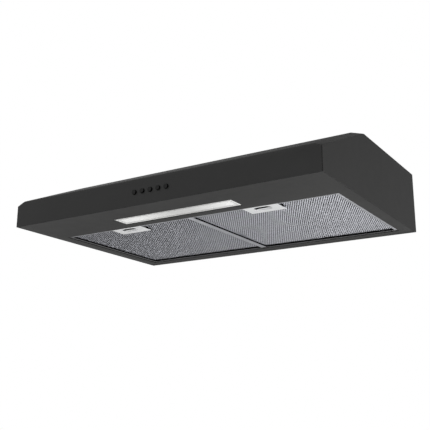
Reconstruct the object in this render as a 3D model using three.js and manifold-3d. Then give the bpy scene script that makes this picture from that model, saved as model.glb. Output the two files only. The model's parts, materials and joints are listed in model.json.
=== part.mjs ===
// Under cabinet range hood: a folded steel body that hangs from a wall cabinet, with push
// buttons on the fascia, a lamp and two hinged grease filters in the underside, and a twin
// wheel blower that discharges up through a collar with a back-draft damper.
//
// Millimetres. X runs to the right, Y to the back, Z up. Every piece is laid out from the
// underside, z = 0, and the whole hood is then lowered so that the origin lies on the top
// face, where the hood is screwed to the cabinet.

import * as THREE from "three";
import { mergeVertices } from "three/addons/utils/BufferGeometryUtils.js";
import Module from "manifold-3d";

const wasm = await Module();
wasm.setup();

// ---------------------------------------------------------------- driving dimensions

const WIDTH = 762;
const DEPTH = 521;
const HEIGHT = 141;
const FASCIA = 58; // height of the flat front
const SLOPE_END = -70; // y where the sloping top meets the flat top
const CORNER_WIDE = 20; // chamfer between the slope and each side, measured along X
const CORNER_HIGH = 9; // the same chamfer, measured along Z
const SHEET = 1.2; // steel of the body
const PAN = 1.0; // steel of the underside pan
const GAP = 0.3; // clearance between pieces that touch

const FRONT = -DEPTH / 2;
const BACK = DEPTH / 2;
const SIDE = WIDTH / 2;
const SIDE_IN = SIDE - SHEET; // inner face of a side panel
const TOP_IN = HEIGHT - SHEET; // inner face of the flat top
const BACK_SEAM = 245; // y where the pan meets the back panel's bottom flange

const LAMP = { x: 150.6, front: -193, back: -147, recess: 1.3, lens: 2, margin: 2.4 };

const BAY = { x: 351, front: -122.4, back: 226.7, wall: 10 }; // filter opening in the pan

const FILTER = {
  clear: 1.2, // between a filter and the pan, and between the two filters
  back: 225.5,
  flange: 6.5,
  face: 1.3, // height of the flange's lower face
  sheet: 1.0,
  wall: 1.5,
  top: 10,
  mesh: 5.2, // height of the mesh's lower face
  meshThick: 3,
  hingeY: 223.5,
  hingeZ: 5.2,
};
FILTER.half = (2 * BAY.x - 3 * FILTER.clear) / 4;
FILTER.centre = FILTER.half + FILTER.clear / 2;
FILTER.front = BAY.front + FILTER.clear;

const ROD = { radius: 1.5, bore: 1.8, half: 165, ear: 160, eye: 110 };

const LATCH = { wide: 81, deep: 44, face: 0.3, thick: 0.8, oval: 40, ovalDeep: 21.6, set: 0.6 };
LATCH.front = FILTER.front + LATCH.set;
LATCH.back = LATCH.front + LATCH.deep;
LATCH.top = LATCH.face + LATCH.thick;
LATCH.ovalY = LATCH.front + 16.4;
LATCH.channel = 24.6; // half the inner width of the channel behind the plate

const BUTTON = { count: 5, pitch: 20.1, radius: 5, hole: 5.4, proud: 3.2, z: 28.9 };

const BLOWER = {
  y: 130,
  z: 74,
  motor: 35,
  motorHalf: 43,
  near: 46, // x of a scroll's face on the motor side
  far: 120, // x of a scroll's inlet face
  scrollMin: 48,
  scrollMax: 64,
  tongue: 75, // degrees from +Y, turning towards +Z
  top: 138,
  inlet: 40,
  wheel: 44,
  wheelIn: 37,
  blades: 20,
  shaft: 4,
};

const COLLAR = { x: 127, front: 126.5, back: 209.5, top: 168, wall: 1, flange: 10 };
COLLAR.base = TOP_IN - 0.4 - COLLAR.wall;

const DAMPER = { y: 131, z: 152.5, pin: 1.5, bore: 1.8, knuckle: 3 };

const WIRING = { left: 210, right: 330, front: 60, back: 140, bottom: 96, top: 139.5 };
const GLAND = { x: 270, y: 100, bore: 7, radius: 10.5, hole: 11 };

// ---------------------------------------------------------------- finishes

const FINISH = {
  black_paint: { color: 0x303030, roughness: 0.45, metalness: 0.1 },
  black_plastic: { color: 0x0a0a0a, roughness: 0.3, metalness: 0 },
  mesh_aluminium: { color: 0x85858a, roughness: 0.5, metalness: 0.8 },
  bright_aluminium: { color: 0xc4c4c4, roughness: 0.35, metalness: 0.9 },
  galvanised: { color: 0x9a9da0, roughness: 0.45, metalness: 0.8 },
  steel: { color: 0x8c8c8c, roughness: 0.3, metalness: 0.9 },
  white_plastic: { color: 0xe6e6e2, roughness: 0.4, metalness: 0 },
  lens: { color: 0xf2f2f0, roughness: 0.25, metalness: 0 },
  circuit_board: { color: 0xe9ece8, roughness: 0.5, metalness: 0 },
  grey_plastic: { color: 0x3a3c40, roughness: 0.5, metalness: 0 },
  cable: { color: 0x161616, roughness: 0.6, metalness: 0 },
};

const hood = new THREE.Group();
hood.position.z = -HEIGHT;

// Adds one named piece to the hood.
function piece(name, shape, finish) {
  const mesh = new THREE.Mesh(surface(shape), new THREE.MeshStandardMaterial(FINISH[finish]));
  mesh.name = name;
  hood.add(mesh);
}

// ---------------------------------------------------------------- solids

// A closed three.js geometry as a solid that can be joined and cut.
function solid(geometry) {
  const bare = geometry.index ? geometry.toNonIndexed() : geometry.clone();
  bare.deleteAttribute("normal");
  bare.deleteAttribute("uv");
  const merged = mergeVertices(bare, 1e-4);
  return new wasm.Manifold(
    new wasm.Mesh({
      numProp: 3,
      vertProperties: merged.attributes.position.array,
      triVerts: new Uint32Array(merged.index.array),
    }),
  );
}

// A solid back as a three.js geometry.
function surface(shape) {
  const mesh = shape.getMesh();
  const positions = new Float32Array(mesh.numVert * 3);
  for (let i = 0; i < mesh.numVert; i++) {
    const start = i * mesh.numProp;
    positions.set(mesh.vertProperties.subarray(start, start + 3), i * 3);
  }
  const geometry = new THREE.BufferGeometry();
  geometry.setAttribute("position", new THREE.BufferAttribute(positions, 3));
  geometry.setIndex(new THREE.BufferAttribute(new Uint32Array(mesh.triVerts), 1));
  geometry.computeVertexNormals();
  return geometry;
}

const join = (shapes) => shapes.reduce((all, next) => all.add(next));
const cut = (shape, tools) => tools.reduce((left, tool) => left.subtract(tool), shape);

function box([x0, x1], [y0, y1], [z0, z1]) {
  const geometry = new THREE.BoxGeometry(x1 - x0, y1 - y0, z1 - z0);
  return solid(geometry.translate((x0 + x1) / 2, (y0 + y1) / 2, (z0 + z1) / 2));
}

const UNIT = {
  x: new THREE.Vector3(1, 0, 0),
  y: new THREE.Vector3(0, 1, 0),
  z: new THREE.Vector3(0, 0, 1),
};

// The directions that an outline's two axes take, for each axis it can be extruded along.
const ACROSS = { x: ["y", "z"], y: ["z", "x"], z: ["x", "y"] };

// An outline extruded along an axis. Its points are in the order (y, z), (z, x) or (x, y).
function prism(axis, outline, from, to) {
  const shape = new THREE.Shape(outline.map(([a, b]) => new THREE.Vector2(a, b)));
  const geometry = new THREE.ExtrudeGeometry(shape, { depth: to - from, bevelEnabled: false });
  const [first, second] = ACROSS[axis];
  const turn = new THREE.Matrix4().makeBasis(UNIT[first], UNIT[second], UNIT[axis]);
  turn.setPosition(UNIT[axis].clone().multiplyScalar(from));
  return solid(geometry.applyMatrix4(turn));
}

function ring(radius, sides, [a, b] = [0, 0]) {
  const points = [];
  for (let i = 0; i < sides; i++) {
    const angle = (2 * Math.PI * i) / sides;
    points.push([a + radius * Math.cos(angle), b + radius * Math.sin(angle)]);
  }
  return points;
}

function rod(axis, centre, radius, from, to, sides = 16) {
  return prism(axis, ring(radius, sides, centre), from, to);
}

// A closed profile of (radius, place along the axis) points turned round an axis.
function turned(axis, centre, profile, sides = 20) {
  const closed = [...profile, profile[0]];
  let area = 0;
  for (let i = 0; i < profile.length; i++)
    area += closed[i][0] * closed[i + 1][1] - closed[i + 1][0] * closed[i][1];
  if (area < 0) closed.reverse();
  const points = closed.map(([r, s]) => new THREE.Vector2(r, s));
  const geometry = new THREE.LatheGeometry(points, sides);
  const [first, second] = ACROSS[axis];
  const turn = new THREE.Matrix4().makeBasis(UNIT[second], UNIT[axis], UNIT[first]);
  const offset = UNIT[first].clone().multiplyScalar(centre[0]);
  turn.setPosition(offset.addScaledVector(UNIT[second], centre[1]));
  return solid(geometry.applyMatrix4(turn));
}

// Rounds the corners of an outline. Each corner is [a, b] or [a, b, radius].
function rounded(corners, steps = 4) {
  const points = [];
  corners.forEach(([a, b, radius], i) => {
    const corner = new THREE.Vector2(a, b);
    if (!radius) {
      points.push([a, b]);
      return;
    }
    const before = corners[(i + corners.length - 1) % corners.length];
    const after = corners[(i + 1) % corners.length];
    const back = new THREE.Vector2(before[0] - a, before[1] - b).normalize();
    const on = new THREE.Vector2(after[0] - a, after[1] - b).normalize();
    const half = Math.acos(THREE.MathUtils.clamp(back.dot(on), -1, 1)) / 2;
    const start = corner.clone().addScaledVector(back, radius / Math.tan(half));
    const middle = back.clone().add(on).normalize().multiplyScalar(radius / Math.sin(half));
    const centre = corner.clone().add(middle);
    const spoke = start.sub(centre);
    const sweep = Math.sign(back.cross(on)) * -(Math.PI - 2 * half);
    for (let k = 0; k <= steps; k++) {
      const arm = spoke.clone().rotateAround(new THREE.Vector2(), (sweep * k) / steps);
      points.push([centre.x + arm.x, centre.y + arm.y]);
    }
  });
  return points;
}

// A round section swept along a curve.
function tube(curve, radius, steps, sides = 8) {
  const section = new THREE.Shape(ring(radius, sides).map(([a, b]) => new THREE.Vector2(a, b)));
  return solid(new THREE.ExtrudeGeometry(section, { steps, extrudePath: curve }));
}

class Helix extends THREE.Curve {
  // A helix along +Y that starts at a point on its axis.
  constructor(start, radius, length, turns) {
    super();
    Object.assign(this, { start, radius, length, turns });
  }

  getPoint(t, target = new THREE.Vector3()) {
    const angle = 2 * Math.PI * this.turns * t;
    const x = this.start.x + this.radius * Math.cos(angle);
    const z = this.start.z + this.radius * Math.sin(angle);
    return target.set(x, this.start.y + this.length * t, z);
  }
}

function spring(x, z, from, to, radius, wire, turns) {
  const start = new THREE.Vector3(x, from + wire, z);
  const curve = new Helix(start, radius, to - from - 2 * wire, turns);
  return tube(curve, wire, Math.round(turns * 8), 5);
}

// ---------------------------------------------------------------- body

const SLOPE = new THREE.Vector3(0, SLOPE_END - FRONT, HEIGHT - FASCIA);
const CORNER_EDGE = new THREE.Vector3(CORNER_WIDE, 0, -CORNER_HIGH);

// Everything outside one of the two corner chamfers, moved inwards by a distance.
function beyondChamfer(side, inwards) {
  const out = SLOPE.clone().cross(CORNER_EDGE).normalize();
  if (out.z < 0) out.negate();
  const point = new THREE.Vector3(SIDE - CORNER_WIDE, FRONT, FASCIA);
  point.addScaledVector(out, -inwards);
  const size = 1200;
  const geometry = new THREE.BoxGeometry(size, size, size).translate(0, 0, size / 2);
  geometry.applyQuaternion(new THREE.Quaternion().setFromUnitVectors(UNIT.z, out));
  geometry.translate(point.x, point.y, point.z);
  const block = solid(geometry);
  return side > 0 ? block : block.mirror([1, 0, 0]);
}

// The body's outline in (y, z), moved inwards by a distance all round the sheet.
function bodyOutline(inwards, bottom, back) {
  const turn = Math.atan2(SLOPE.z, SLOPE.y);
  const front = FRONT + inwards;
  const top = HEIGHT - inwards;
  const foldFront = FASCIA - inwards * Math.tan((Math.PI / 2 - turn) / 2);
  const foldTop = SLOPE_END + inwards * Math.tan(turn / 2);
  return rounded([
    [front, bottom],
    [front, foldFront, 5 - inwards],
    [foldTop, top, 6 - inwards],
    [back, top],
    [back, bottom],
  ]);
}

function bodySkin() {
  const chamfers = (inwards) => [beyondChamfer(1, inwards), beyondChamfer(-1, inwards)];
  const outside = cut(prism("x", bodyOutline(0, 0, BACK), -SIDE, SIDE), chamfers(0));
  const hollow = prism("x", bodyOutline(SHEET, -1, BACK + 1), -SIDE_IN, SIDE_IN);
  return outside.subtract(cut(hollow, chamfers(SHEET)));
}

const buttonX = (i) => (i - (BUTTON.count - 1) / 2) * BUTTON.pitch;
const everyButton = (make) => Array.from({ length: BUTTON.count }, (_, i) => make(buttonX(i)));

function outerShell(skin) {
  const reach = SIDE_IN - GAP;
  const middle = skin.intersect(box([-reach, reach], [FRONT - 1, BACK + 1], [-1, HEIGHT + 1]));
  const through = [HEIGHT - 5, HEIGHT + 5];
  const screws = [];
  for (const x of [-320, 320])
    for (const y of [-40, 225]) screws.push(rod("z", [x, y], 2.4, ...through, 12));
  const duct = 0.4;
  return cut(middle, [
    ...everyButton((x) => rod("y", [BUTTON.z, x], BUTTON.hole, FRONT - 2, FRONT + 4)),
    ...screws,
    rod("z", [GLAND.x, GLAND.y], GLAND.hole, ...through),
    box([-COLLAR.x - duct, COLLAR.x + duct], [COLLAR.front - duct, COLLAR.back + duct], through),
  ]);
}

function sidePanel(skin, side) {
  const [near, far] = [SIDE_IN, SIDE + 1];
  const span = side > 0 ? [near, far] : [-far, -near];
  return skin.intersect(box(span, [FRONT - 1, BACK + 1], [-1, HEIGHT + 1]));
}

function backPanel() {
  const reach = SIDE_IN - GAP;
  const plate = box([-reach, reach], [BACK - SHEET, BACK], [0, TOP_IN - GAP]);
  return plate.add(box([-reach, reach], [BACK_SEAM + GAP, BACK - 0.1], [0, SHEET]));
}

function bottomPan() {
  const reach = SIDE_IN - GAP;
  const through = [-1, PAN + 1];
  const sheet = box([-reach, reach], [FRONT + SHEET + GAP, BACK_SEAM], [0, PAN]);
  const walls = [
    box([-BAY.x - PAN, BAY.x + PAN], [BAY.front - PAN, BAY.front], [0, BAY.wall]),
    box([-BAY.x - PAN, -BAY.x], [BAY.front - PAN, BAY.back - 8], [0, BAY.wall]),
    box([BAY.x, BAY.x + PAN], [BAY.front - PAN, BAY.back - 8], [0, BAY.wall]),
  ];
  const keepers = [-1, 1].map((side) => {
    const x = side * FILTER.centre;
    return box([x - 25, x + 25], [BAY.front - 2, BAY.front + 1], [2.6, 5.6]);
  });
  return cut(join([sheet, ...walls]), [
    box([-LAMP.x, LAMP.x], [LAMP.front, LAMP.back], through),
    box([-BAY.x, BAY.x], [BAY.front, BAY.back], through),
    ...keepers,
  ]);
}

const skin = bodySkin();
piece("outer_shell", outerShell(skin), "black_paint");
piece("side_panel_left", sidePanel(skin, -1), "black_paint");
piece("side_panel_right", sidePanel(skin, 1), "black_paint");
piece("back_panel", backPanel(), "black_paint");
piece("bottom_pan", bottomPan(), "black_paint");

// ---------------------------------------------------------------- buttons

const BEZEL = [FRONT + SHEET + GAP, FRONT + SHEET + GAP + 2];
const COLLET = BEZEL[1] + GAP; // front face of the collet that stops a button
const BLOCK = { front: FRONT + 13.5, back: FRONT + 35.5, x: 52, low: 18, high: 40.7 };
const BUTTON_TRAVEL = 3;

function buttonBezel() {
  const strip = box([-56, 56], BEZEL, [BUTTON.z - 10, BUTTON.z + 10]);
  return cut(strip, everyButton((x) => rod("y", [BUTTON.z, x], BUTTON.hole, FRONT, FRONT + 8)));
}

// A cap with a dished face, a collet that rests on the bezel and a stem that works the switch.
function button(x) {
  const face = FRONT - BUTTON.proud;
  const r = BUTTON.radius;
  const profile = [
    [0, face + 0.7],
    [r * 0.4, face + 0.55],
    [r * 0.68, face + 0.15],
    [r * 0.84, face],
    [r * 0.95, face + 0.3],
    [r, face + 0.9],
    [r, COLLET],
    [6.6, COLLET],
    [6.6, COLLET + 1.5],
    [2.2, COLLET + 1.5],
    [2.2, BLOCK.front + 1.2],
    [0, BLOCK.front + 1.2],
  ];
  return turned("y", [BUTTON.z, x], profile, 16);
}

function switchBlock() {
  const body = box([-BLOCK.x, BLOCK.x], [BLOCK.front, BLOCK.back], [BLOCK.low, BLOCK.high]);
  const depth = BLOCK.front + 1.2 + BUTTON_TRAVEL + GAP;
  return cut(body, everyButton((x) => rod("y", [BUTTON.z, x], 2.6, BLOCK.front - 1, depth, 12)));
}

// A folded strap from the fascia over the switch block and down behind it.
function switchBracket() {
  const front = BEZEL[0];
  const low = BLOCK.high + GAP;
  const back = BLOCK.back + GAP;
  const outline = [
    [front, 52],
    [front, low],
    [back, low],
    [back, BLOCK.low],
    [back + SHEET, BLOCK.low],
    [back + SHEET, low + SHEET],
    [front + SHEET, low + SHEET],
    [front + SHEET, 52],
  ];
  return prism("x", outline, -58, 58);
}

piece("button_bezel", buttonBezel(), "black_plastic");
for (let i = 0; i < BUTTON.count; i++) {
  const x = buttonX(i);
  const room = [COLLET + 1.5 + GAP, BLOCK.front - GAP];
  piece(`button_${i + 1}`, button(x), "black_plastic");
  piece(`button_spring_${i + 1}`, spring(x, BUTTON.z, ...room, 3.6, 0.4, 3), "steel");
}
piece("switch_block", switchBlock(), "grey_plastic");
piece("switch_bracket", switchBracket(), "galvanised");

// ---------------------------------------------------------------- lamp

function lampLens() {
  const over = LAMP.margin;
  const z = [LAMP.recess, LAMP.recess + LAMP.lens];
  return box([-LAMP.x - over, LAMP.x + over], [LAMP.front - over, LAMP.back + over], z);
}

function lampHousing() {
  const inner = LAMP.margin + 2;
  const outer = inner + PAN;
  const span = (over) => [-LAMP.x - over, LAMP.x + over];
  const deep = (over) => [LAMP.front - over, LAMP.back + over];
  const tray = box(span(outer), deep(outer), [LAMP.recess, 24]);
  const lead = rod("z", [-90, -165], 3.4, 20, 30, 12);
  return cut(tray, [box(span(inner), deep(inner), [0, 24 - PAN]), lead]);
}

function ledBoard() {
  const chips = Array.from({ length: 12 }, (_, i) => {
    const x = (i - 5.5) * 23;
    return box([x - 2.5, x + 2.5], [-172.5, -167.5], [17.2, 18.4]);
  });
  return join([box([-145, 145], [-178, -162], [18, 19.6]), ...chips]);
}

function ledDriver() {
  const outline = rounded([
    [-270, -20, 3],
    [-190, -20, 3],
    [-190, 20, 3],
    [-270, 20, 3],
  ]);
  const feet = [-272, -188].map((x) => box([x - 9, x + 9], [-8, 8], [137.5, 139.3]));
  return join([prism("z", outline, 114, 139.3), ...feet]);
}

piece("lamp_lens", lampLens(), "lens");
piece("lamp_housing", lampHousing(), "white_plastic");
piece("led_board", ledBoard(), "circuit_board");
piece("led_driver", ledDriver(), "white_plastic");

// ---------------------------------------------------------------- filters

const CHANNEL = { front: FILTER.front + FILTER.flange + GAP, back: LATCH.back - 1.4, top: 9.6 };
const SLIDE = { front: FILTER.front + 0.2, back: LATCH.back - 11.4, low: 3.3, high: 4.8, x: 24 };

// A rectangular hoop round a filter's centre: its outer edge is set in by one distance from
// the filter's outline and its inner edge by another.
function filterHoop(x, outer, inner, z) {
  const wide = (inset) => [x - FILTER.half + inset, x + FILTER.half - inset];
  const deep = (inset) => [FILTER.front + inset, FILTER.back - inset];
  return box(wide(outer), deep(outer), z).subtract(box(wide(inner), deep(inner), [-1, 20]));
}

function filterFrame(x) {
  const { face, flange, wall, sheet, top, hingeY, hingeZ } = FILTER;
  const rim = filterHoop(x, 0, flange, [face, face + sheet]);
  const sides = filterHoop(x, flange - wall, flange, [face, top]);
  const wallBack = FILTER.back - flange + wall;
  const eyes = [-ROD.eye, ROD.eye].flatMap((at) => {
    const span = [x + at - 6, x + at + 6];
    return [
      rod("x", [hingeY, hingeZ], 3, ...span),
      box(span, [wallBack - 0.5, hingeY], [face + 0.5, hingeZ + 3]),
    ];
  });
  const bores = [-ROD.eye, ROD.eye].map((at) =>
    rod("x", [hingeY, hingeZ], ROD.bore, x + at - 8, x + at + 8, 12),
  );
  const ears = [-ROD.ear, ROD.ear].map((at) =>
    box([x + at - 1.6, x + at + 1.6], [wallBack + 0.1, FILTER.back + 1], [0, top]),
  );
  const inner = FILTER.front + flange;
  const slot = LATCH.channel;
  return cut(join([rim, sides, ...eyes]), [
    ...bores,
    ...ears,
    box([x - slot, x + slot], [inner - wall - 0.5, inner + 0.5], [SLIDE.low - 0.6, SLIDE.high + 0.6]),
    box([x - 20.2, x + 20.2], [inner - wall - 0.5, inner + 0.5], [0, 6]),
  ]);
}

function filterMesh(x) {
  const inset = FILTER.flange + GAP;
  const z = [FILTER.mesh, FILTER.mesh + FILTER.meshThick];
  const across = [x - FILTER.half + inset, x + FILTER.half - inset];
  const plate = box(across, [FILTER.front + inset, FILTER.back - inset], z);
  const clear = LATCH.channel + SHEET + GAP;
  const edge = x + LATCH.wide / 2;
  return cut(plate, [
    box([x - clear, x + clear], [FILTER.front, CHANNEL.back + GAP], [0, 20]),
    box([edge - 4, edge + 9], [LATCH.front + 11.6, LATCH.front + 27.6], [0, 20]),
  ]);
}

// The plate with its oval finger hole and, behind it, the channel that the slide runs in.
function latchPlate(x) {
  const half = LATCH.wide / 2;
  const z = [LATCH.face, LATCH.top];
  const plate = box([x - half, x + half], [LATCH.front, LATCH.back], z);
  const r = LATCH.ovalDeep / 2;
  const reach = LATCH.oval / 2;
  const oval = rounded(
    [
      [x - reach, LATCH.ovalY - r, r - 0.01],
      [x + reach, LATCH.ovalY - r, r - 0.01],
      [x + reach, LATCH.ovalY + r, r - 0.01],
      [x - reach, LATCH.ovalY + r, r - 0.01],
    ],
    6,
  );
  const inner = LATCH.channel;
  const outer = inner + SHEET;
  const { front, back, top } = CHANNEL;
  const walls = [
    box([x - outer, x - inner], [front, back], [LATCH.top - 0.1, top]),
    box([x + inner, x + outer], [front, back], [LATCH.top - 0.1, top]),
    box([x - outer, x + outer], [back - SHEET, back], [LATCH.top - 0.1, top]),
    box([x - outer, x + outer], [front, back], [top - 0.1, top + 0.8]),
  ];
  return join([plate, ...walls]).subtract(prism("z", oval, LATCH.face - 1, LATCH.top + 0.05));
}

// A ring that spans the finger hole, with the bolt across its front and a finger ramp.
function latchSlide(x) {
  const { front, back, low, high } = SLIDE;
  const tray = box([x - SLIDE.x, x + SLIDE.x], [front, back], [low, high]);
  const window = box([x - 20.4, x + 20.4], [front + 4.5, LATCH.ovalY + 4.7], [0, 20]);
  const rampFront = LATCH.ovalY + 4.5;
  const rampBack = LATCH.ovalY + 10;
  const ramp = [
    [rampFront, low + 0.1],
    [rampBack - 1, LATCH.top + 0.4],
    [rampBack + 0.4, LATCH.top + 0.4],
    [rampBack + 0.4, low + 0.5],
    [rampFront, low + 0.5],
  ];
  return join([tray.subtract(window), prism("x", ramp, x - 19, x + 19)]);
}

function latchSpring(x) {
  const middle = (SLIDE.low + SLIDE.high) / 2;
  const room = [SLIDE.back + GAP, CHANNEL.back - SHEET - GAP];
  return spring(x, middle, ...room, 1.8, 0.35, 4);
}

// A base strip fixed to the pan, with two ears that hold the hinge rod.
function rodCarrier(x) {
  const { hingeY, hingeZ } = FILTER;
  const base = box([x - 166, x + 166], [BAY.back + 1.5, BAY.back + 14], [PAN + GAP, PAN + GAP + SHEET]);
  const foot = BAY.back + 2;
  const outline = [
    [foot, PAN + GAP + 0.2],
    [foot + 9, PAN + GAP + 0.2],
    [foot + 9, 4],
    [hingeY + 2, hingeZ + 3.2],
    [hingeY - 1.6, hingeZ + 3.2],
    [hingeY - 2.6, hingeZ],
    [hingeY - 1.6, hingeZ - 2.6],
    [foot, hingeZ - 2.6],
  ];
  const ears = [-ROD.ear, ROD.ear].map((at) => prism("x", outline, x + at - 0.75, x + at + 0.75));
  const bores = [-ROD.ear, ROD.ear].map((at) =>
    rod("x", [hingeY, hingeZ], ROD.bore, x + at - 2, x + at + 2, 12),
  );
  return cut(join([base, ...ears]), bores);
}

for (const [hand, side] of [["left", -1], ["right", 1]]) {
  const x = side * FILTER.centre;
  const hinge = [FILTER.hingeY, FILTER.hingeZ];
  piece(`filter_frame_${hand}`, filterFrame(x), "mesh_aluminium");
  piece(`filter_mesh_${hand}`, filterMesh(x), "mesh_aluminium");
  piece(`latch_plate_${hand}`, latchPlate(x), "bright_aluminium");
  piece(`latch_slide_${hand}`, latchSlide(x), "bright_aluminium");
  piece(`latch_spring_${hand}`, latchSpring(x), "steel");
  piece(`hinge_rod_${hand}`, rod("x", hinge, ROD.radius, x - ROD.half, x + ROD.half, 12), "steel");
  piece(`rod_carrier_${hand}`, rodCarrier(x), "galvanised");
}

// ---------------------------------------------------------------- blower

const AXIS = [BLOWER.y, BLOWER.z];

// The scroll's outline in (y, z), moved outwards by the thickness of its wall.
function scrollOutline(wall, top) {
  const points = [];
  const steps = 22;
  const sweep = 360 - BLOWER.tongue;
  for (let i = 0; i <= steps; i++) {
    const angle = THREE.MathUtils.degToRad(BLOWER.tongue + (sweep * i) / steps);
    const grow = ((BLOWER.scrollMax - BLOWER.scrollMin) * i) / steps;
    const r = BLOWER.scrollMin + grow + wall;
    points.push([BLOWER.y + r * Math.cos(angle), BLOWER.z + r * Math.sin(angle)]);
  }
  const tongue = THREE.MathUtils.degToRad(BLOWER.tongue);
  const near = BLOWER.y + BLOWER.scrollMin * Math.cos(tongue) - wall;
  return [...points, [BLOWER.y + BLOWER.scrollMax + wall, top], [near, top]];
}

function scroll(side) {
  const span = (inset) => {
    const [from, to] = [BLOWER.near + inset, BLOWER.far - inset];
    return side > 0 ? [from, to] : [-to, -from];
  };
  const outside = prism("x", scrollOutline(SHEET, BLOWER.top), ...span(0));
  const inside = prism("x", scrollOutline(0, BLOWER.top + 1), ...span(SHEET));
  const [nearFace, farFace] = [BLOWER.near * side, BLOWER.far * side];
  return cut(outside, [
    inside,
    rod("x", AXIS, BLOWER.inlet, farFace - 3, farFace + 3, 24),
    rod("x", AXIS, 10, nearFace - 3, nearFace + 3, 16),
  ]);
}

// A flared ring on the scroll's inlet side.
function inletRing(side) {
  const face = BLOWER.far;
  const profile = [
    [36.5, face - 3],
    [37.3, face - 3],
    [38.6, face + GAP],
    [52, face + GAP],
    [52, face + GAP + 1],
    [39, face + 3],
    [36.5, face + 1],
  ];
  const mirrored = profile.map(([r, s]) => [r, s * side]);
  return turned("x", AXIS, mirrored, 24);
}

// A forward curved wheel: a hub plate on the motor side, blades and a rim on the inlet side.
function impeller(side) {
  const from = BLOWER.near + 4;
  const to = BLOWER.far - 8;
  const span = (a, b) => (side > 0 ? [a, b] : [-b, -a]);
  const hub = [
    [BLOWER.shaft + GAP, from],
    [BLOWER.wheel, from],
    [BLOWER.wheel, from + 1.5],
    [10, from + 1.5],
    [10, from + 14],
    [BLOWER.shaft + GAP, from + 14],
  ];
  const rim = [
    [BLOWER.wheelIn + 1, to - 1.5],
    [BLOWER.wheel, to - 1.5],
    [BLOWER.wheel, to],
    [BLOWER.wheelIn + 1, to],
  ];
  const parts = [hub, rim].map((profile) => {
    const mirrored = profile.map(([r, s]) => [r, s * side]);
    return turned("x", AXIS, mirrored, 24);
  });
  const [x0, x1] = span(from + 0.5, to - 0.5);
  for (let i = 0; i < BLOWER.blades; i++) {
    const chord = BLOWER.wheel - BLOWER.wheelIn;
    const blade = new THREE.BoxGeometry(x1 - x0, chord, 0.9);
    blade.rotateX(THREE.MathUtils.degToRad(28));
    blade.translate((x0 + x1) / 2, (BLOWER.wheel + BLOWER.wheelIn) / 2, 0);
    blade.rotateX((2 * Math.PI * (i + 0.5)) / BLOWER.blades);
    parts.push(solid(blade.translate(0, BLOWER.y, BLOWER.z)));
  }
  return join(parts);
}

function motorHousing() {
  const { motor, motorHalf, shaft } = BLOWER;
  const profile = [
    [shaft + GAP, -motorHalf],
    [20, -motorHalf],
    [motor - 6, -motorHalf + 4],
    [motor, -motorHalf + 9],
    [motor, motorHalf - 9],
    [motor - 6, motorHalf - 4],
    [20, motorHalf],
    [shaft + GAP, motorHalf],
  ];
  return turned("x", AXIS, profile, 24);
}

// A trough under the motor, with a flange at each end that is screwed to a scroll.
function motorCradle() {
  const inner = BLOWER.motor + GAP;
  const reach = BLOWER.near - GAP;
  const below = box([-reach, reach], [BLOWER.y - 60, BLOWER.y + 60], [0, BLOWER.z - 6]);
  const trough = rod("x", AXIS, inner + 1.5, -reach, reach, 24);
  const plates = [-1, 1].map((side) => {
    const [a, b] = [side * (reach - 1.5), side * reach].sort((p, q) => p - q);
    return rod("x", AXIS, inner + 8, a, b, 24);
  });
  const hollow = rod("x", AXIS, inner, -reach - 1, reach + 1, 24);
  return join([trough, ...plates]).subtract(hollow).intersect(below);
}

function cradleScrew(side) {
  const x = side * (BLOWER.near - GAP - 1.5 - GAP);
  const z = BLOWER.z - BLOWER.motor - 4.4;
  const ends = [x, x - side * 2.2].sort((p, q) => p - q);
  return rod("x", [BLOWER.y, z], 2.6, ...ends, 12);
}

piece("motor_housing", motorHousing(), "steel");
piece("rotor_shaft", rod("x", AXIS, BLOWER.shaft, -72, 72, 16), "steel");
piece("motor_cradle", motorCradle(), "galvanised");
for (const [hand, side] of [["left", -1], ["right", 1]]) {
  piece(`scroll_${hand}`, scroll(side), "galvanised");
  piece(`inlet_ring_${hand}`, inletRing(side), "black_plastic");
  piece(`impeller_${hand}`, impeller(side), "galvanised");
  piece(`cradle_screw_${hand}`, cradleScrew(side), "steel");
}

// ---------------------------------------------------------------- outlet

function outletCollar() {
  const { x, front, back, top, wall, flange, base } = COLLAR;
  const tubeOutside = box([-x, x], [front, back], [base, top]);
  const rim = box([-x - flange, x + flange], [front - flange, back + flange], [base, base + wall]);
  const inside = box([-x + wall, x - wall], [front + wall, back - wall], [base - 1, top + 1]);
  const stop = box([-x + wall - 0.1, x - wall + 0.1], [back - 4, back - wall + 0.1], [147.5, 149.2]);
  const pin = rod("x", [DAMPER.y, DAMPER.z], DAMPER.bore, -x - 2, x + 2, 16);
  return tubeOutside.add(rim).subtract(inside).add(stop).subtract(pin);
}

function damperFlap() {
  const low = DAMPER.z - DAMPER.knuckle;
  const plate = box([-124.5, 124.5], [DAMPER.y, COLLAR.back - 2.5], [low, low + 1]);
  const knuckle = rod("x", [DAMPER.y, DAMPER.z], DAMPER.knuckle, -120, 120);
  const bore = rod("x", [DAMPER.y, DAMPER.z], DAMPER.bore, -130, 130, 16);
  const swage = box([-90, 90], [DAMPER.y + 30, DAMPER.y + 34], [low + 0.5, low + 2]);
  return join([plate, knuckle, swage]).subtract(bore);
}

piece("outlet_collar", outletCollar(), "galvanised");
piece("damper_flap", damperFlap(), "galvanised");
const pinReach = COLLAR.x + 2;
const damperAxis = [DAMPER.y, DAMPER.z];
piece("damper_pin", rod("x", damperAxis, DAMPER.pin, -pinReach, pinReach, 16), "steel");

// ---------------------------------------------------------------- wiring

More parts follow.
